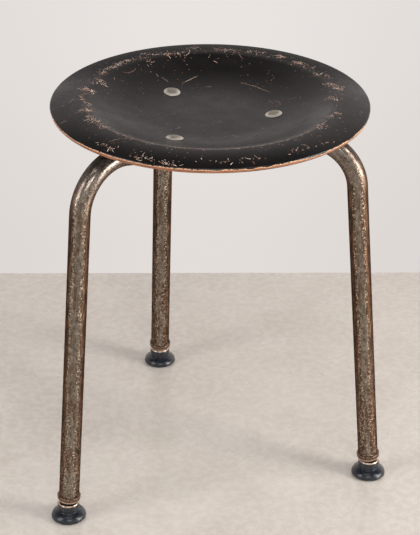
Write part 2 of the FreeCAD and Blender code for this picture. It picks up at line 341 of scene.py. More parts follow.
def seat_face(depth, fine):
    """Outline of the dish's face at a depth under its upper face, from the axis outwards."""
    floor_radius = dish_rounds()
    rim_round = rim_curve()
    rim_angle = math.degrees(math.asin((SEAT_RADIUS - CREST_RADIUS) / rim_round))
    points = [(floor_radius * i / FLOOR_STEPS, FLOOR_HEIGHT - depth) for i in range(FLOOR_STEPS)]
    bowl = (floor_radius, FLOOR_HEIGHT + BOWL_ROUND)
    crest = (CREST_RADIUS, CREST_HEIGHT - CREST_ROUND)
    middle = (CREST_RADIUS, CREST_HEIGHT - rim_round)
    points += arc_points(bowl, BOWL_ROUND + depth, 270, 270 + FLANK_ANGLE, fine)
    points += arc_points(crest, CREST_ROUND - depth, 90 + FLANK_ANGLE, 90, fine)
    rim = arc_points(middle, rim_round - depth, 90, 90 - rim_angle, fine)
    return points + rim[1:]


def seat_outline():
    """Outline of the dish, over it and back under, with each point's depth under the upper face."""
    upper = seat_face(0.0, FACE_STEPS)
    lower = seat_face(SEAT_THICKNESS, UNDER_STEPS)
    top_corner, low_corner = Vector(upper[-1]), Vector(lower[-1])
    down = (low_corner - top_corner).normalized()
    back = (Vector(upper[-2]) - top_corner).normalized()
    under = (Vector(lower[-2]) - low_corner).normalized()
    size = RIM_EDGE_ROUND
    plies = []
    for k in range(PLY_STEPS + 1):
        s, c = sin_cos(90.0 * k / PLY_STEPS)
        plies.append((top_corner + back * size * (1 - s) + down * size * (1 - c), size * (1 - c)))
    for k in range(1, PLY_STEPS):
        depth = size + (SEAT_THICKNESS - 2 * size) * k / PLY_STEPS
        plies.append((top_corner + down * depth, depth))
    for k in range(PLY_STEPS + 1):
        s, c = sin_cos(90.0 * k / PLY_STEPS)
        point = low_corner + under * size * (1 - c) - down * size * (1 - s)
        plies.append((point, SEAT_THICKNESS - size * (1 - s)))
    clear = size * 1.05
    outline = [(p, 0.0) for p in upper if (Vector(p) - top_corner).length > clear]
    outline += [(tuple(p), d) for p, d in plies]
    outline += [(p, SEAT_THICKNESS) for p in reversed(lower) if (Vector(p) - low_corner).length > clear]
    return outline


def bolt_places():
    """Foot, axis and turn of each bolt, square to the dish."""
    places = []
    for i in range(3):
        s, c = sin_cos(BOLT_AZIMUTH + THIRD * i)
        x = BOLT_SHIFT + BOLT_CIRCLE * c
        y = BOLT_CIRCLE * s
        out = max(BOLT_CIRCLE - dish_rounds(), 0.0)
        slope = math.asin(out / BOWL_ROUND)
        axis = Vector((-math.sin(slope) * c, -math.sin(slope) * s, math.cos(slope)))
        foot = Vector((x, y, dish_height(math.hypot(x - SEAT_SHIFT, y))))
        turn = Vector((0, 0, 1)).rotation_difference(axis).to_matrix().to_4x4()
        places.append((foot, axis, turn))
    return places


def seat_height(radius):
    """Height of the seat's upper face at a distance from its own axis."""
    s, _ = sin_cos(FLANK_ANGLE)
    rim_round = rim_curve()
    if radius > CREST_RADIUS:
        return CREST_HEIGHT - rim_round + math.sqrt(rim_round ** 2 - (radius - CREST_RADIUS) ** 2)
    if radius > CREST_RADIUS - CREST_ROUND * s:
        return CREST_HEIGHT - CREST_ROUND + math.sqrt(CREST_ROUND ** 2 - (CREST_RADIUS - radius) ** 2)
    return dish_height(radius)


# Scuffs on the seat: first and last angle, first and last distance from its axis, how many hairs
SCUFFS = (
    (153, 127, 135, 139, 120), (125, 124, 139, 123, 16), (121, 118, 149, 140, 14), (117, 104, 138, 128, 50),
    (102, 95, 147, 140, 16), (88, 77, 140, 138, 55), (73, 65, 141, 143, 30), (59, 54, 144, 142, 40),
    (48, 42, 139, 140, 46), (37, 38, 138, 148, 8), (30, 26, 132, 142, 28), (18, 9, 134, 142, 75),
    (3, -2, 127, 136, 34), (338, 344, 135, 136, 18), (328, 328, 133, 142, 22), (171, 173, 140, 125, 60),
    (165, 158, 136, 124, 26), (180, 190, 138, 130, 34), (195, 197, 136, 128, 55), (203, 218, 135, 135, 70),
    (241, 258, 163, 165, 62), (225, 236, 160, 162, 20), (255, 290, 160, 158, 22), (300, 320, 158, 160, 22))

# Long scratches, as offsets from the seat's axis
LONG_MARKS = (
    ((-31, 80), (-23, 87), (-14, 95)), ((-60, 90), (-57, 85)), ((-54, 86), (-46, 79)),
    ((33, 81), (48, 73), (65, 56)), ((62, 40), (69, 29)), ((69, 36), (75, 31), (75, 24)),
    ((83, 33), (93, 34)), ((9, -159), (20, -156)), ((23, -50), (30, -57)),
    ((-102, -115), (-87, -108)), ((-155, -63), (-147, -60)), ((-149, -17), (-143, -5)),
    ((-141, -46), (-133, -40)), ((31, 131), (34, 121), (37, 118)), ((111, 82), (116, 93)),
    ((3, 118), (8, 115)), ((-126, 51), (-111, 39)), ((-123, 54), (-111, 46)), ((-105, 63), (-104, 58)),
    ((-96, 77), (-90, 78), (-84, 85), (-82, 90)), ((-157, -21), (-151, -24)))

# Marks strewn along the crest or, without a spread, all over: count, spread, length, widths, tone
LOOSE_MARKS = (
    (240, 4.0, 1.0, (0.25, 0.55), 1.0),
    (420, None, 0.25, (0.25, 0.5), 0.6),
    (230, None, 3.0, (0.12, 0.25), 0.7))


def scratch_path(rng, x, y, heading, length):
    """Points of one wandering scratch on the seat, as offsets from the seat's axis."""
    points = [(x, y)]
    for _ in range(max(2, int(length / SCRATCH_STEP))):
        heading += rng.gauss(0, 0.12)
        x += SCRATCH_STEP * math.cos(heading)
        y += SCRATCH_STEP * math.sin(heading)
        if math.hypot(x, y) > SEAT_RADIUS - SCRATCH_MARGIN:
            break
        points.append((x, y))
    return points


def scratches(rng):
    """All the scratches of the seat, each with its points, width and tone."""
    made = []
    for first, last, near, far, hairs in SCUFFS:
        for _ in range(hairs):
            t = rng.random()
            angle = math.radians(first + (last - first) * t + rng.gauss(0, 0.9))
            r = near + (far - near) * t + rng.gauss(0, 2.2)
            lean = rng.gauss(0, 0.5) if rng.random() < 0.62 else math.pi / 2 + rng.gauss(0, 0.3)
            heading = angle + lean + rng.choice((0, math.pi))
            length = 0.7 + rng.expovariate(1 / 2.0)
            path = scratch_path(rng, r * math.cos(angle), r * math.sin(angle), heading, length)
            made.append((path, rng.uniform(0.3, 0.8), 0.15 + 0.85 * rng.random()))
    for marks in LONG_MARKS:
        path = []
        for a, b in zip(marks, marks[1:]):
            steps = max(2, int(math.dist(a, b) / MARK_STEP))
            path += [(a[0] + (b[0] - a[0]) * k / steps + rng.gauss(0, 0.12),
                      a[1] + (b[1] - a[1]) * k / steps + rng.gauss(0, 0.12)) for k in range(steps)]
        path.append(marks[-1])
        made.append((path, rng.uniform(0.3, 0.5), rng.uniform(0.25, 0.7)))
    # one round mark near the middle
    made.append(([(3.2 * math.cos(k / 4) - 4, 3.2 * math.sin(k / 4) + 1) for k in range(26)], 0.6, 0.05))
    for count, spread, long, wide, tone in LOOSE_MARKS:
        for _ in range(count):
            angle = rng.uniform(0, math.tau)
            r = math.sqrt(rng.random()) * 166 if spread is None else 136 + rng.gauss(0, spread)
            path = scratch_path(rng, r * math.cos(angle), r * math.sin(angle), rng.uniform(0, math.tau),
                                0.5 + rng.expovariate(1 / long))
            made.append((path, rng.uniform(*wide), tone * rng.random()))
    return made


def scratch_ribbons():
    """Thin worn lines laid on the seat, with a tone for each."""
    rng = random.Random(SCRATCH_SEED)
    verts, faces, tones = [], [], []
    for points, width, tone in scratches(rng):
        if len(points) < 2:
            continue
        first = len(verts)
        for i, (x, y) in enumerate(points):
            ax, ay = points[max(i - 1, 0)]
            bx, by = points[min(i + 1, len(points) - 1)]
            size = math.hypot(bx - ax, by - ay) or 1.0
            taper = math.sin(math.pi * (i + 0.6) / (len(points) + 0.2))
            half = width / 2 * (0.3 + 0.7 * taper) * rng.uniform(0.7, 1.3)
            for side in (-1, 1):
                px, py = x - side * half * (by - ay) / size, y + side * half * (bx - ax) / size
                verts.append((SEAT_SHIFT + px, py, seat_height(math.hypot(px, py)) + SCRATCH_LIFT))
                tones.append(tone)
        for i in range(len(points) - 1):
            k = first + 2 * i
            faces.append((k, k + 1, k + 3, k + 2))
    return verts, faces, tones


def seat_dish(lacquer, bare_wood):
    """The turned dish with its worn lines, and each point's depth in the plies and its tone."""
    segments = SEAT_SEGMENTS
    verts, faces, depths = [], [], []
    rows = []
    for (r, z), depth in seat_outline():
        if r < 1e-6:
            rows.append([len(verts)] * segments)
            verts.append((SEAT_SHIFT, 0.0, z))
            depths.append(depth)
            continue
        row = []
        for i in range(segments):
            s, c = sin_cos(360.0 * i / segments)
            row.append(len(verts))
            verts.append((SEAT_SHIFT + r * c, r * s, z))
            depths.append(depth)
        rows.append(row)
    for low, high in zip(rows, rows[1:]):
        for i in range(segments):
            j = (i + 1) % segments
            ring = list(dict.fromkeys((low[i], high[i], high[j], low[j])))
            if len(ring) > 2:
                faces.append(ring)
    worn_verts, worn_faces, tones = scratch_ribbons()
    whole = len(faces)
    first = len(verts)
    verts += worn_verts
    depths += [0.0] * len(worn_verts)
    faces += [tuple(first + v for v in face) for face in worn_faces]
    mesh = bpy.data.meshes.new("seat_dish")
    mesh.from_pydata([Vector(v) * MM for v in verts], [], faces)
    layer = mesh.attributes.new("depth", "FLOAT", "POINT")
    layer.data.foreach_set("value", np.array(depths, np.float32))
    layer = mesh.attributes.new("tone", "FLOAT", "POINT")
    layer.data.foreach_set("value", np.array([0.0] * first + tones, np.float32))
    mesh.polygons.foreach_set("use_smooth", [True] * len(mesh.polygons))
    mesh.materials.append(lacquer)
    mesh.materials.append(bare_wood)
    mesh.polygons.foreach_set("material_index", [0] * whole + [1] * (len(faces) - whole))
    mesh.update()
    return new_object("seat_dish", mesh)


def scratch_wood():
    """Bare wood in the scratches, from dark to pale by tone."""
    g = Graph("scratch_wood")
    place = g.place()
    tone = g.attribute("tone")
    colour = g.ramp(tone, [
        (0.0, (0.14, 0.05, 0.035)), (0.25, (0.38, 0.17, 0.11)), (0.6, (0.70, 0.44, 0.33)),
        (1.0, (0.92, 0.80, 0.70))])
    fine = g.noise(place, 1.5, 2.0)
    colour = g.mix(g.step(fine, 0.35, 0.65, 0.35, 0.0), colour, (0.05, 0.03, 0.025))
    g.set(Base_Color=colour, Roughness=g.blend(fine, 0.55, 0.7))
    return g.material


def seat_lacquer():
    """Black lacquer, worn along the crest, with the bare plies at the edge."""
    g = Graph("seat_lacquer")
    place = g.place()
    x, y, z = g.parts(place)
    sx = g.minus(x, SEAT_SHIFT)
    radius = g.vector_math("LENGTH", g.joined(sx, y, 0.0))
    angle = g.math("ARCTAN2", y, sx)
    depth = g.attribute("depth")
    polar = g.joined(g.times(angle, 26.0), g.times(radius, 0.05), 0.0)
    # wear round the crest, more of it at the back left and on the right
    off_crest = g.math("ABSOLUTE", g.minus(radius, CREST_RADIUS - 1.0))
    band = g.step(off_crest, 2.0, 15.0, 1.0, 0.0)
    back_left = g.step(g.math("COSINE", g.minus(angle, math.radians(135))), 0.55, 0.97)
    right_side = g.step(g.math("COSINE", g.minus(angle, math.radians(20))), 0.72, 0.99)
    sides = g.math("MAXIMUM", g.times(back_left, 0.62), g.times(right_side, 0.6))
    where = g.plus(0.30, sides)
    streaks = g.noise(polar, 5.5, 4.0, 0.62, 0.5)
    patches = g.noise(place, 0.09, 3.0, 0.6)
    worn = g.times(g.times(band, where), g.step(patches, 0.35, 0.75))
    threshold = g.minus(0.86, g.times(worn, 0.40))
    scratch = g.step(g.minus(streaks, threshold), 0.0, 0.03)
    # specks all over, and a thin pale line along the crest, a painted highlight, strongest at the front and
    # broken in places
    specks = g.noise(place, 0.62, 2.0, 0.7)
    speck_mask = g.step(specks, 0.75, 0.785)
    off_line = g.math("ABSOLUTE", g.minus(radius, CREST_RADIUS - 1.2))
    crest_highlight_line = g.step(off_line, 0.2, 1.3, 1.0, 0.0)
    breaks = g.noise(g.joined(g.times(angle, 14.0), 0.0, 0.0), 2.0, 4.0, 0.7)
    crest_break = g.step(breaks, 0.38, 0.62)
    front = g.step(y, -10.0, -95.0)
    crest = g.times(crest_highlight_line, g.times(crest_break, g.blend(front, 0.12, 0.8)))
    bare = g.math("MAXIMUM", g.math("MAXIMUM", scratch, g.times(speck_mask, 0.40)), crest, clamp=True)
    # bare strip of the edge, of changing width, with chips of lacquer over it
    chips = g.noise(g.joined(g.times(angle, 60.0), 0.0, 0.0), 1.0, 4.0, 0.75)
    stretch = g.noise(g.joined(g.times(angle, 5.0), 3.0, 0.0), 1.0, 3.0, 0.6)
    left_front = g.step(g.math("COSINE", g.minus(angle, math.radians(-130))), 0.55, 0.9)
    covered = g.times(g.step(stretch, 0.40, 0.66), g.blend(left_front, 1.9, 0.7))
    covered = g.plus(covered, g.step(chips, 0.50, 0.66, 0.0, 1.5))
    edge = g.step(g.minus(depth, covered), 0.30, 0.6)
    # painted shade: the lower part of the edge is kept black
    under = g.step(depth, g.blend(left_front, 3.9, 5.2), g.blend(left_front, 4.5, 5.8))
    edge = g.times(edge, g.minus(1.0, under))
    wood = g.ramp(g.noise(g.joined(g.times(angle, 9.0), radius, z), 1.4, 3.0, 0.6), [
        (0.3, (0.24, 0.09, 0.042)), (0.55, (0.42, 0.17, 0.08)), (0.75, (0.60, 0.28, 0.15))])
    glue = g.times(g.step(depth, 2.5, 2.8), g.step(depth, 3.0, 3.3, 1.0, 0.0))
    wood = g.mix(g.times(glue, 0.6), wood, (0.05, 0.022, 0.015))
    # painted highlight: a pale cream line along the top of the bare edge, where its rounding would catch
    # the light
    edge_highlight = g.step(g.minus(depth, covered), 1.7, 1.0)
    edge_highlight = g.times(edge_highlight, g.step(chips, 0.40, 0.55, 1.0, 0.45))
    wood = g.mix(edge_highlight, wood, (0.95, 0.58, 0.36))
    # painted shade: the lowest ply darkened under the edge's rounding
    shaded_low_ply = g.step(depth, 4.6, 5.1)
    wood = g.mix(g.times(shaded_low_ply, 0.85), wood, (0.06, 0.03, 0.02))
    # lacquer, its sheen and the faint grain
    tone = g.noise(place, 0.02, 3.0, 0.5)
    black = g.mix(g.step(tone, 0.35, 0.7), (0.0050, 0.0038, 0.0036), (0.0078, 0.0060, 0.0056))
    worn_wood = g.mix(g.noise(place, 0.5, 2.0), (0.26, 0.14, 0.10), (0.60, 0.42, 0.34))
    colour = g.mix(bare, black, worn_wood)
    colour = g.mix(edge, colour, wood)
    haze = g.noise(place, 0.05, 4.0, 0.6)
    rough = g.blend(g.step(haze, 0.3, 0.7), 0.30, 0.38)
    outer = g.step(radius, CREST_RADIUS - 9, CREST_RADIUS + 3)
    rear = g.times(g.step(y, 20.0, 105.0), outer)
    rough = g.blend(rear, rough, 0.76)
    bristle = g.noise(g.joined(g.times(angle, 90.0), g.times(radius, 0.15), 0.0), 1.6, 3.0, 0.65)
    uneven = g.times(g.minus(bristle, 0.5), g.step(radius, 128.0, 150.0, 0.08, 0.5))
    rough = g.plus(rough, uneven)
    rough = g.blend(g.math("MAXIMUM", bare, edge), rough, 0.62)
    grain = g.noise(g.joined(g.times(x, 0.25), g.times(y, 2.2), z), 0.6, 3.0, 0.6)
    height = g.plus(g.times(grain, 0.25), g.times(g.minus(1.0, bare), 0.5))
    plies = g.times(g.times(glue, edge), -1.5)
    normal = g.bump(g.plus(height, plies), 0.00012, 0.6)
    g.set(Base_Color=colour, Roughness=rough, IOR=1.5, Normal=normal)
    return g.material


# Legs

def up_the_leg(distance):
    """Point on the straight leg's axis at a distance from the ball."""
    s, c = sin_cos(LEG_SPLAY)
    return Vector((GLIDE_CIRCLE - s * distance, 0.0, BALL_HEIGHT + c * distance))


def tube_end():
    """Distance from the ball to the tube's lower end."""
    return (TUBE_END_HEIGHT - BALL_HEIGHT) / sin_cos(LEG_SPLAY)[1]


def leg_turn(index):
    return Matrix.Rotation(math.radians(LEG_AZIMUTH + THIRD * index), 4, "Z")


def on_leg(index, distance):
    """Place of a piece drawn on the Z axis and set on the leg, in millimetres."""
    tilt = Matrix.Rotation(math.radians(-LEG_SPLAY), 4, "Y")
    return leg_turn(index) @ Matrix.Translation(up_the_leg(distance)) @ tilt


def at_glide(index):
    return leg_turn(index) @ Matrix.Translation((GLIDE_CIRCLE, 0, 0))


def leg_stations():
    """Points on the leg's centre line with the way it runs, up to where the top run starts."""
    s, c = sin_cos(LEG_SPLAY)
    arc_height = BEND_CROWN - BEND_RADIUS
    tangent_height = arc_height + BEND_RADIUS * s
    top = (tangent_height - BALL_HEIGHT) / c
    along = Vector((-s, 0, c))
    stations = []
    low = tube_end()
    for k in range(RUN_STEPS + 1):
        stations.append((up_the_leg(low + (top - low) * k / RUN_STEPS), along))
    centre = Vector((up_the_leg(top).x - BEND_RADIUS * c, 0, arc_height))
    for k in range(1, BEND_STEPS + 1):
        sa, ca = sin_cos(LEG_SPLAY + (90 + TOP_RUN_SLOPE - LEG_SPLAY) * k / BEND_STEPS)
        stations.append((centre + Vector((ca, 0, sa)) * BEND_RADIUS, Vector((-sa, 0, ca))))
    return stations


def leg_mesh(index):
    """Bent tube whose inner end follows the hub's skirt, and the curve where they meet."""
    count = TUBE_SEGMENTS
    turn = leg_turn(index)
    hub = turn.inverted() @ Vector((BOLT_SHIFT, 0, 0))
    stations = leg_stations()
    rings, along_leg, run = [], [], 0.0
    for n, (point, along) in enumerate(stations):
        out = Vector((along.z, 0, -along.x))
        run += (point - stations[max(n - 1, 0)][0]).length
        ring = []
        for k in range(count):
            s, c = sin_cos(360.0 * k / count)
            ring.append(point + (out * c + Vector((0, 1, 0)) * s) * TUBE_RADIUS)
        rings.append(ring)
        along_leg.append(run)
    along = stations[-1][1]
    end = []
    for p in rings[-1]:
        px, py = p.x - hub.x, p.y - hub.y
        a, b, c = along.x ** 2, 2 * px * along.x, px ** 2 + py ** 2 - HUB_RADIUS ** 2
        end.append(p + along * (-b - math.sqrt(b * b - 4 * a * c)) / (2 * a))
    bent = rings[-1]
    for k in range(1, COPE_STEPS + 1):
        rings.append([p.lerp(q, k / COPE_STEPS) for p, q in zip(bent, end)])
        along_leg.append(run + k * (end[0] - bent[0]).length / COPE_STEPS)
    obj = swept(f"tube_{LEG_NAMES[index]}", [[turn @ p for p in ring] for ring in rings])
    wrap = obj.data.attributes.new("wrap", "FLOAT_VECTOR", "POINT")
    # angle round the tube counted from the side facing the view, where the painted light and shade of the
    # tube is set
    front = math.radians(-90.0 - LEG_AZIMUTH - THIRD * index)
    for row, run in enumerate(along_leg):
        for k in range(count):
            angle = math.tau * k / count - front
            wrap.data[row * count + k].vector = (
                TUBE_RADIUS * math.sin(angle), TUBE_RADIUS * math.cos(angle), run + LEG_RUN * index)
    return obj, [turn @ p for p in end]


def weld_bead(index, curve):
    """Rippled bead of weld along the curve where tube and hub meet."""
    rng = random.Random(BEAD_SEED + index)
    n = len(curve)
    middle = sum(curve, Vector()) / n
    rings = []
    steps = BEAD_STEPS
    for i in range(n * steps):
        a, b = curve[i // steps], curve[(i // steps + 1) % n]
        p = a.lerp(b, (i % steps) / steps)
        way = (b - a).normalized()
        out = (p - middle).normalized()
        side = way.cross(out).normalized()
        radius = BEAD_RADIUS + BEAD_RIPPLE * math.sin(i * 0.9) + rng.uniform(-0.07, 0.07)
        ring = []
        for k in range(BEAD_SIDES):
            s, c = sin_cos(360.0 / BEAD_SIDES * k)
            ring.append(p + (out * c + side * s) * radius)
        rings.append(ring)
    return swept(f"weld_{LEG_NAMES[index]}", rings, loop=True, sharp=80)


def leg_steel():
    """Old steel tube: a grey band on the side facing the view and at two places round its back, brown
    towards the tube's sides, painted light and shade mixed with rust streaks; rows of pale specks beside
    the band as painted glints; dark pits; smooth bends.
    """
    g = Graph("leg_steel")
    wrap = g.node("ShaderNodeAttribute", attribute_name="wrap").outputs["Vector"]
    x, y, run = g.parts(wrap)
    long = g.joined(x, y, g.times(run, 0.16))
    mild = g.joined(x, y, g.times(run, 0.5))
    own_run = g.math("MODULO", run, LEG_RUN)
    low = g.step(own_run, 190.0, 20.0)
    cloud = g.noise(long, 0.10, 3.0, 0.6)
    streak = g.noise(long, 0.42, 4.0, 0.62)
    mottle = g.noise(mild, 0.40, 5.0, 0.72, 0.4)
    fine = g.noise(wrap, 1.3, 3.0, 0.7)
    # painted light and shade: the grey band is turned to the side facing the view, and the tube goes brown
    # towards its sides
    wobble = g.times(g.minus(cloud, 0.5), 3.2)
    turn = g.plus(g.times(g.math("ARCTAN2", x, y), 3.0), wobble)
    band = g.math("COSINE", turn)
    bent = g.step(own_run, 325.0, 385.0)
    bare = g.plus(band, g.times(g.minus(streak, 0.5), 1.5))
    bare = g.minus(bare, g.times(g.math("LESS_THAN", run, LEG_RUN - 10.0), 0.45))
    # painted shade mixed with real rust: brown where the band fades at the tube's sides as seen, with
    # streaks of rust through it
    side_shade_and_rust = g.step(bare, 0.45, -0.25)
    # rows beside the painted grey band, where the painted glints and the pits gather, with more pits low on
    # the leg
    row = g.step(g.math("ABSOLUTE", g.minus(band, 0.2)), 0.25, 0.75, 1.0, 0.0)
    busy = g.math("MAXIMUM", row, g.times(low, 0.6))
    busy = g.times(busy, g.step(bent, 0.0, 1.0, 1.0, 0.3))
    steel = g.ramp(mottle, [
        (0.34, (0.085, 0.064, 0.048)), (0.45, (0.18, 0.147, 0.115)), (0.56, (0.255, 0.213, 0.17)),
        (0.70, (0.42, 0.365, 0.30))])
    oxide = g.ramp(streak, [
        (0.32, (0.034, 0.019, 0.013)), (0.5, (0.095, 0.056, 0.036)), (0.68, (0.30, 0.165, 0.095))])
    colour = g.mix(g.times(side_shade_and_rust, 0.92), steel, oxide)
    stain = g.times(g.step(g.noise(long, 0.2, 3.0, 0.6), 0.50, 0.62), g.blend(low, 0.6, 0.95))
    colour = g.mix(stain, colour, (0.125, 0.062, 0.036))
    shift = g.node("ShaderNodeTexNoise", {"Vector": wrap, "Scale": 0.55, "Detail": 2.0}).outputs["Color"]
    ragged = g.vector_math("ADD", wrap, g.vector_math("MULTIPLY", shift, (3.4, 3.4, 4.4)))
    # painted highlight: pale specks along the rows, as glints broken up by the pitting
    dots = g.step(g.spots(ragged, 0.45), 0.26, 0.46, 1.0, 0.0)
    painted_glints = g.times(dots, g.times(busy, g.step(fine, 0.40, 0.56, 0.0, 0.9)))
    pits = g.step(g.spots(g.vector_math("ADD", ragged, (7.3, 2.1, 4.7)), 0.5), 0.20, 0.42, 1.0, 0.0)
    dark = g.times(pits, g.times(g.step(mottle, 0.60, 0.46), g.blend(busy, 0.4, 1.0)))
    colour = g.mix(dark, colour, (0.035, 0.021, 0.015))
    smooth = g.ramp(mottle, [
        (0.35, (0.10, 0.072, 0.056)), (0.5, (0.25, 0.205, 0.175)), (0.68, (0.44, 0.385, 0.34))])
    colour = g.mix(g.times(bent, 0.85), colour, smooth)
    colour = g.mix(painted_glints, colour, (0.84, 0.69, 0.54))
    rough = g.blend(g.step(mottle, 0.3, 0.7), g.blend(bent, 0.38, 0.25), g.blend(bent, 0.24, 0.15))
    height = g.plus(g.times(mottle, 0.5), g.times(fine, 0.2))
    height = g.plus(g.times(height, g.blend(busy, 0.35, 1.0)), g.times(painted_glints, 0.5))
    height = g.minus(height, g.times(dark, 0.6))
    height = g.times(height, g.blend(bent, 1.0, 0.35))
    g.set(Base_Color=colour, Metallic=0.85, Roughness=rough, Normal=g.bump(height, 0.0003, 0.9))
    g.shader.inputs["Specular Tint"].default_value = (0.12, 0.08, 0.06, 1.0)
    return g.material


def plain_metal(name, dark, light, rough, scale=0.5, bump=0.00006):
    """Metal with a mottled tone and fine wear."""
    g = Graph(name)
    place = g.place()
    mottle = g.noise(place, scale, 4.0, 0.6)
    fine = g.noise(place, scale * 5, 3.0, 0.6)
    colour = g.mix(g.step(mottle, 0.32, 0.68), dark, light)
    roughness = g.blend(fine, rough - 0.1, rough + 0.12)
    height = g.plus(mottle, g.times(fine, 0.4))
    g.set(Base_Color=colour, Metallic=1.0, Roughness=roughness, Normal=g.bump(height, bump, 0.6))
    return g.material


def plain_skin(name, dark, light, rough, scale=0.4, bump=0.00005):
    """Moulded or painted surface with a faint tone and orange peel."""
    g = Graph(name)
    place = g.place()
    cloud = g.noise(place, scale, 3.0, 0.55)
    peel = g.noise(place, scale * 6, 2.0, 0.5)
    colour = g.mix(g.step(cloud, 0.3, 0.7), dark, light)
    roughness = g.blend(cloud, rough - 0.06, rough + 0.08)
    g.set(Base_Color=colour, Roughness=roughness, IOR=1.5, Normal=g.bump(peel, bump, 0.5))
    return g.material


def bolt_metal():
    """Nickel worn dull on the crown of each head, with a painted highlight as a bright ring near its edge
    and painted shade as a dark ring where it beds.
    """
    g = Graph("bolt_nickel")
    place = g.place()
    reach = g.attribute("reach")
    mottle = g.noise(place, 0.4, 4.0, 0.65)
    fine = g.noise(place, 2.2, 3.0, 0.6)
    # painted highlight: a bright ring towards the head's edge, the crown left dull
    edge = g.step(g.plus(reach, g.times(g.minus(mottle, 0.5), 9.0)), 4.5, 7.5)
    colour = g.mix(edge, (0.40, 0.355, 0.295), (0.88, 0.82, 0.72))
    colour = g.mix(g.step(fine, 0.55, 0.72, 0.0, 0.5), colour, (0.22, 0.18, 0.14))
    # painted shade: a dark ring where the head beds on the seat
    colour = g.mix(g.step(reach, HEAD_RADIUS - 0.95, HEAD_RADIUS - 0.55), colour, (0.06, 0.045, 0.035))
    rough = g.blend(fine, 0.36, 0.52)
    g.set(Base_Color=colour, Metallic=0.7, Roughness=rough, Normal=g.bump(mottle, 0.00006, 0.6))
    return g.material


def collar_metal():
    """Brown steel of the tube's end ring, with a painted highlight along its lower edge."""
    g = Graph("collar_steel")
    place = g.place()
    level = g.attribute("level")
    mottle = g.noise(place, 0.5, 4.0, 0.65)
    colour = g.mix(g.step(mottle, 0.35, 0.65), (0.07, 0.04, 0.028), (0.24, 0.15, 0.10))
    dots = g.step(g.spots(place, 0.5), 0.2, 0.4, 1.0, 0.0)
    colour = g.mix(g.times(dots, g.step(mottle, 0.45, 0.6, 0.0, 0.6)), colour, (0.55, 0.42, 0.31))
    # painted highlight: the lower edge made bright, where its rounding would catch the light
    edge = g.step(g.plus(level, g.times(g.minus(mottle, 0.5), 1.5)), 1.5, 0.6)
    colour = g.mix(g.times(edge, 0.85), colour, (0.80, 0.60, 0.48))
    g.set(Base_Color=colour, Metallic=0.85, Roughness=0.34, Normal=g.bump(mottle, 0.0001, 0.7))
    return g.material


def glide_skin():
    """Black moulded foot, with a fine scuffed sheen on its skirt."""
    g = Graph("glide_black")
    place = g.place()
    cloud = g.noise(place, 0.35, 4.0, 0.6)
    fine = g.noise(place, 1.8, 3.0, 0.65)
    colour = g.mix(g.step(cloud, 0.35, 0.65), (0.0065, 0.0078, 0.012), (0.016, 0.0195, 0.028))
    scuff = g.step(g.noise(place, 1.1, 3.0, 0.7), 0.62, 0.72, 0.0, 0.22)
    colour = g.mix(scuff, colour, (0.10, 0.11, 0.125))
    rough = g.blend(fine, 0.16, 0.34)
    g.set(Base_Color=colour, Roughness=rough, IOR=1.52, Normal=g.bump(fine, 0.00008, 0.6))
    return g.material


# Small pieces

def bolt_outline():
    """Half outline of the domed bolt, with a turned edge and rings of thread at its end."""
    rise = HEAD_HEIGHT - HEAD_LAND
    sphere = (HEAD_RADIUS ** 2 + rise ** 2) / (2 * rise)
    edge = math.degrees(math.acos(HEAD_RADIUS / sphere))
    dome = arc_points((0, HEAD_HEIGHT - sphere), sphere, 90, edge + 1.6, 24)
    points = dome + [(HEAD_RADIUS - 0.08, HEAD_LAND + 0.02), (HEAD_RADIUS, HEAD_LAND - 0.15)]
    points += [(HEAD_RADIUS - 0.05, 0.0), (BOLT_RADIUS, 0.0)]
    root = BOLT_RADIUS - THREAD_DEPTH
    z = THREAD_TOP
    while z > -BOLT_LENGTH + THREAD_TAIL:
        points += [(BOLT_RADIUS, z), (root, z - THREAD_RISE / 2), (BOLT_RADIUS, z - THREAD_RISE)]
        z -= THREAD_PITCH
    points += [(root, -BOLT_LENGTH), (0, -BOLT_LENGTH)]
    return points


def glide_outline():
    """Half outline of the foot: lip, dome, neck and the bore for its cup."""
    corner = BASE_RADIUS - BASE_EDGE_RADIUS + LIP_EXTRA
    points = [(SOLE_RADIUS + 0.15, BASE_FOOT), (BASE_EDGE_RADIUS - 0.3, BASE_FOOT)]
    points += arc_points((BASE_RADIUS - corner, BASE_LIP), corner, -80, 0, 8)
    end = math.degrees(math.acos((NECK_RADIUS + 0.5) / BASE_RADIUS))
    for k in range(1, DOME_STEPS + 1):
        s, c = sin_cos(end * k / DOME_STEPS)
        points.append((BASE_RADIUS * c - 0.05, BASE_LIP + DOME_HEIGHT * s))
    points += rounded([(NECK_RADIUS, points[-1][1] + 0.6, 0), (NECK_RADIUS, NECK_TOP, 0.4),
                       (CUP_RADIUS + SPIN, NECK_TOP, 0)])
    points += [(CUP_RADIUS + SPIN, CUP_FLOOR - FLOOR_GAP), (0, CUP_FLOOR - FLOOR_GAP)]
    return points


def collar_outline():
    bore = TUBE_RADIUS + PRESS
    out = bore + COLLAR_THICKNESS
    return rounded([
        (bore, 0.3, 0), (bore, 0.0, 0.2), (out, 0.0, 1.0), (out, COLLAR_HEIGHT, 0.6),
        (bore, COLLAR_HEIGHT, 0.2), (bore, COLLAR_HEIGHT - 0.5, 0)])


def ring_outline():
    top = NECK_TOP + RING_THICKNESS
    return rounded([
        (RING_BORE, NECK_TOP + 0.4, 0), (RING_BORE, NECK_TOP, 0.2), (RING_RADIUS, NECK_TOP, 0.5),
        (RING_RADIUS, top, 0.5), (RING_BORE, top, 0.2), (RING_BORE, NECK_TOP + 0.4, 0)])


# Building

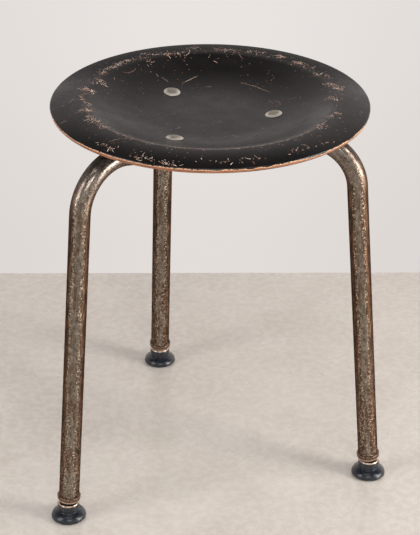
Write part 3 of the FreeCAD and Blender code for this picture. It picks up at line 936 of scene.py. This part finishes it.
materials = {
    "seat": seat_lacquer(),
    "bare": scratch_wood(),
    "leg": leg_steel(),
    "bolt": bolt_metal(),
    "collar": collar_metal(),
    "stud": plain_metal("stud_steel", (0.035, 0.02, 0.014), (0.10, 0.055, 0.035), 0.45),
    "ring": plain_metal("ring_brass", (0.46, 0.33, 0.25), (0.86, 0.71, 0.59), 0.27),
    "weld": plain_metal("weld_steel", (0.09, 0.065, 0.05), (0.20, 0.15, 0.12), 0.42, 0.8, 0.0002),
    "hub": plain_skin("hub_paint", (0.018, 0.017, 0.017), (0.032, 0.030, 0.029), 0.42, 0.08, 0.00008),
    "zinc": plain_metal("zinc_steel", (0.30, 0.29, 0.27), (0.48, 0.47, 0.45), 0.38),
    "spring": plain_metal("spring_steel", (0.06, 0.055, 0.05), (0.14, 0.13, 0.12), 0.4),
    "rubber": plain_skin("pad_rubber", (0.012, 0.012, 0.012), (0.022, 0.021, 0.021), 0.72),
    "sole": plain_skin("sole_rubber", (0.010, 0.010, 0.010), (0.02, 0.019, 0.019), 0.8),
    "glide": glide_skin(),
    "cup": plain_skin("cup_plastic", (0.45, 0.42, 0.36), (0.6, 0.57, 0.5), 0.4),
}

seat = seat_dish(materials["seat"], materials["bare"])
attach(seat, "frame")
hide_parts("seat_shell")

for index, name in enumerate(LEG_NAMES):
    foot, axis, turn = bolt_places()[index]
    bolt = lathe(f"bolt_{name}", bolt_outline(), 96, Matrix.Translation(foot - axis * HEAD_BED) @ turn, 35)
    paint(bolt, materials["bolt"])
    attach(bolt, "frame")
    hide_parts(f"seat_bolt_{name}")
    tube, curve = leg_mesh(index)
    paint(tube, materials["leg"])
    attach(tube, "frame")
    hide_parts(f"leg_{name}")
    bead = weld_bead(index, curve)
    paint(bead, materials["weld"])
    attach(bead, "frame")
    collar = lathe(f"collar_{name}", collar_outline(), 96, on_leg(index, tube_end()))
    paint(collar, materials["collar"])
    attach(collar, "frame")
    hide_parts(f"leg_collar_{name}")
    base = lathe(f"base_{name}", glide_outline(), 128, at_glide(index))
    paint(base, materials["glide"])
    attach(base, f"glide_{name}")
    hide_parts(f"glide_base_{name}")
    ring = lathe(f"neck_ring_{name}", ring_outline(), 96, at_glide(index))
    paint(ring, materials["ring"])
    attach(ring, f"glide_{name}")
    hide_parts(f"glide_ring_{name}")
    paint_node(f"ball_stud_{name}", materials["stud"])
    paint_node(f"swivel_cup_{name}", materials["cup"])
    paint_node(f"sole_pad_{name}", materials["sole"])
    paint_node(f"seat_pad_{name}", materials["rubber"])

paint_node("hub_cap", materials["hub"])
paint_node("seat_washers", materials["zinc"])
paint_node("seat_nuts", materials["zinc"])
paint_node("seat_spring_washers", materials["spring"])


# Studio

def plane(name, corners, material):
    """Flat piece of the studio through its corners in millimetres."""
    mesh = bpy.data.meshes.new(name)
    mesh.from_pydata([Vector(c) * MM for c in corners], [], [tuple(range(len(corners)))])
    obj = new_object(name, mesh)
    paint(obj, material)


def one_sided(g, surface):
    """Lets the camera look through the back of a floor or wall."""
    facing = g.node("ShaderNodeNewGeometry").outputs["Backfacing"]
    clear = g.node("ShaderNodeBsdfTransparent").outputs[0]
    mixed = g.node("ShaderNodeMixShader", {0: facing, 1: surface, 2: clear}).outputs[0]
    g.tree.links.new(mixed, g.tree.nodes["Material Output"].inputs["Surface"])


def floor_material():
    """Pale, faintly mottled and polished floor, with painted shade darkening it towards the back."""
    g = Graph("floor")
    place = g.place()
    y = g.parts(place)[1]
    cloud = g.noise(place, 0.011, 5.0, 0.62, 0.6)
    wide = g.noise(place, 0.0045, 3.0, 0.5, 1.0)
    grain = g.noise(place, 0.11, 4.0, 0.65)
    # painted shade: the floor darker towards the back, where the light falls off
    far = g.step(y, -350.0, 450.0)
    colour = g.mix(far, (0.692, 0.629, 0.569), (0.642, 0.581, 0.523))
    mottled = g.mix(g.step(cloud, 0.36, 0.62, 0.0, 0.36), colour, (0.55, 0.483, 0.426))
    mottled = g.mix(g.step(wide, 0.48, 0.66, 0.0, 0.36), mottled, (0.52, 0.458, 0.406))
    mottled = g.mix(g.step(grain, 0.40, 0.62, 0.0, 0.24), mottled, (0.90, 0.85, 0.80))
    g.set(Base_Color=mottled, Roughness=g.blend(cloud, 0.22, 0.34), Normal=g.bump(grain, 0.0004, 0.10))
    one_sided(g, g.shader.outputs[0])
    return g.material


def wall_material():
    """Backdrop that the camera sees pale, and that darkens upwards and to the left in reflections."""
    g = Graph("wall")
    x, _, z = g.parts(g.place())
    rays = g.node("ShaderNodeLightPath")
    height = g.math("DIVIDE", z, WALL_TOP)
    seen = g.mix(g.step(z, 0.0, 420.0), (0.725, 0.680, 0.655), (0.765, 0.725, 0.700))
    glow = g.times(g.step(g.math("ABSOLUTE", x), 330.0, 20.0), g.step(z, 40.0, 330.0, 0.45, 1.0))
    seen = g.mix(glow, seen, (0.815, 0.775, 0.748))
    gloss = g.ramp(height, [
        (0.0, (1.14, 1.03, 0.97)), (0.30, (1.08, 0.98, 0.93)), (0.45, (0.90, 0.83, 0.80)),
        (0.62, (0.60, 0.56, 0.545)), (1.0, (0.30, 0.285, 0.28))])
    gloss = g.mix(g.step(x, 200.0, -600.0, 0.0, 0.30), gloss, (0.16, 0.15, 0.15))
    high_left = g.times(g.step(x, 150.0, -350.0, 0.0, 0.9), g.step(height, 0.70, 0.90))
    gloss = g.mix(high_left, gloss, (0.08, 0.075, 0.075))
    low_right = g.times(g.step(x, 0.0, 500.0, 0.0, 0.5), g.step(height, 0.6, 0.3))
    gloss = g.mix(low_right, gloss, (1.5, 1.38, 1.3))
    colour = g.mix(rays.outputs["Is Camera Ray"], gloss, seen)
    light = g.node("ShaderNodeEmission", {"Color": colour, "Strength": 1.0}).outputs[0]
    shown = g.math("MAXIMUM", rays.outputs["Is Camera Ray"], rays.outputs["Is Glossy Ray"])
    shown = g.math("MAXIMUM", shown, rays.outputs["Is Transmission Ray"])
    clear = g.node("ShaderNodeBsdfTransparent").outputs[0]
    mixed = g.node("ShaderNodeMixShader", {0: shown, 1: clear, 2: light}).outputs[0]
    one_sided(g, mixed)
    return g.material


# Reach of the floor and wall, the height of the ground just under the feet, and the wall's place
REACH, GROUND = 20000.0, -0.05
WALL_TOP, WALL_REACH = 980.0, 2500.0
WALL_MIDDLE, WALL_SLANT = 430.0, 0.021
corners = [(REACH * a, REACH * b, GROUND) for a, b in ((-1, -1), (1, -1), (1, 1), (-1, 1))]
plane("floor", corners, floor_material())


def wall_depth(x):
    """How far away the wall's foot is at a place along it."""
    return WALL_MIDDLE + WALL_SLANT * x


corners = [(x, wall_depth(x), z) for x, z in (
    (-WALL_REACH, GROUND), (WALL_REACH, GROUND), (WALL_REACH, WALL_TOP), (-WALL_REACH, WALL_TOP))]
plane("backdrop", corners, wall_material())

# World: one scale of tones for the camera and reflections, and a duller one for the light it sheds
world = bpy.data.worlds.new("studio")
bpy.context.scene.world = world
world.use_nodes = True
tree = world.node_tree
sky = tree.nodes["Background"]
coords = tree.nodes.new("ShaderNodeTexCoord")
split = tree.nodes.new("ShaderNodeSeparateXYZ")
tree.links.new(coords.outputs["Generated"], split.inputs[0])
tones = tree.nodes.new("ShaderNodeValToRGB")
tree.links.new(split.outputs[2], tones.inputs[0])
stops = [
    (0.0, (0.74, 0.71, 0.68)), (0.26, (0.70, 0.67, 0.65)), (0.5, (0.42, 0.41, 0.40)),
    (0.68, (0.06, 0.06, 0.06)), (1.0, (0.015, 0.015, 0.015))]
while len(tones.color_ramp.elements) < len(stops):
    tones.color_ramp.elements.new(0.5)
for element, (position, colour) in zip(tones.color_ramp.elements, stops):
    element.position = position
    element.color = (*colour, 1.0)
rays = tree.nodes.new("ShaderNodeLightPath")
seen = tree.nodes.new("ShaderNodeMath")
seen.operation = "MAXIMUM"
tree.links.new(rays.outputs["Is Camera Ray"], seen.inputs[0])
tree.links.new(rays.outputs["Is Glossy Ray"], seen.inputs[1])
chosen = tree.nodes.new("ShaderNodeMix")
chosen.data_type = "RGBA"
tree.links.new(seen.outputs[0], chosen.inputs["Factor"])
dull = tree.nodes.new("ShaderNodeValToRGB")
tree.links.new(split.outputs[2], dull.inputs[0])
for element, (position, value) in zip(dull.color_ramp.elements, ((0.15, 0.66), (1.0, 0.28))):
    element.position = position
    element.color = (value, value * 0.99, value * 0.98, 1.0)
lean = tree.nodes.new("ShaderNodeMapRange")
tree.links.new(split.outputs[0], lean.inputs["Value"])
for key, value in (("From Min", -0.6), ("From Max", 0.6), ("To Min", 0.60), ("To Max", 1.40)):
    lean.inputs[key].default_value = value
leant = tree.nodes.new("ShaderNodeVectorMath")
leant.operation = "SCALE"
tree.links.new(dull.outputs[0], leant.inputs[0])
tree.links.new(lean.outputs["Result"], leant.inputs["Scale"])
tree.links.new(leant.outputs[0], chosen.inputs[6])
tree.links.new(tones.outputs[0], chosen.inputs[7])
tree.links.new(chosen.outputs[2], sky.inputs["Color"])
sky.inputs["Strength"].default_value = 1.0


def lamp(name, place, target, size, power, colour=(1.0, 0.97, 0.93)):
    """Rectangular soft light that faces its target, in metres and watts."""
    light = bpy.data.lights.new(name, "AREA")
    light.shape = "RECTANGLE"
    light.size, light.size_y = size
    light.energy = power
    light.color = colour
    obj = new_object(name, light)
    obj.location = place
    obj.rotation_mode = "QUATERNION"
    obj.rotation_quaternion = (Vector(target) - Vector(place)).to_track_quat("-Z", "Y")


lamp("key", (1.85, -0.72, 1.05), (0.0, 0.0, 0.25), (0.6, 1.7), 22.5)
lamp("fill", (-1.65, -0.95, 1.2), (0.0, 0.0, 0.25), (0.7, 1.5), 15.0, (0.97, 0.98, 1.0))
lamp("front", (0.15, -2.1, 1.75), (0.0, 0.0, 0.2), (1.2, 0.6), 12.0, (1.0, 0.99, 0.97))
lamp("above", (-0.1, -0.75, 2.2), (0.0, 0.1, 0.1), (1.2, 0.8), 4.5, (0.96, 0.98, 1.0))
lamp("low", (1.35, -0.32, 0.36), (0.0, 0.0, 0.36), (0.8, 0.6), 8.0)

# Camera, fitted to the photograph's outline of the stool
PITCH, ROLL, FOCAL_PIXELS, FRAME_HEIGHT = 27.92, -0.008, 1850.0, 535.0
CAMERA_PLACE = (11.0, -1813.0, 1197.1)
ps, pc = sin_cos(PITCH)
forward = Vector((0, pc, -ps))
right = Vector((1, 0, 0))
down = forward.cross(right)
level = right * math.cos(ROLL) + down * math.sin(ROLL)
drop = down * math.cos(ROLL) - right * math.sin(ROLL)
view = bpy.data.cameras.new("view")
view.sensor_width = 36.0
view.lens = FOCAL_PIXELS * view.sensor_width / FRAME_HEIGHT
view.clip_start, view.clip_end = 0.05, 60.0
camera = new_object("view", view)
turn = Matrix((level, -drop, -forward)).transposed().to_4x4()
camera.matrix_world = Matrix.Translation(Vector(CAMERA_PLACE) * MM) @ turn
bpy.context.scene.camera = camera
bpy.context.scene.view_settings.view_transform = "Standard"
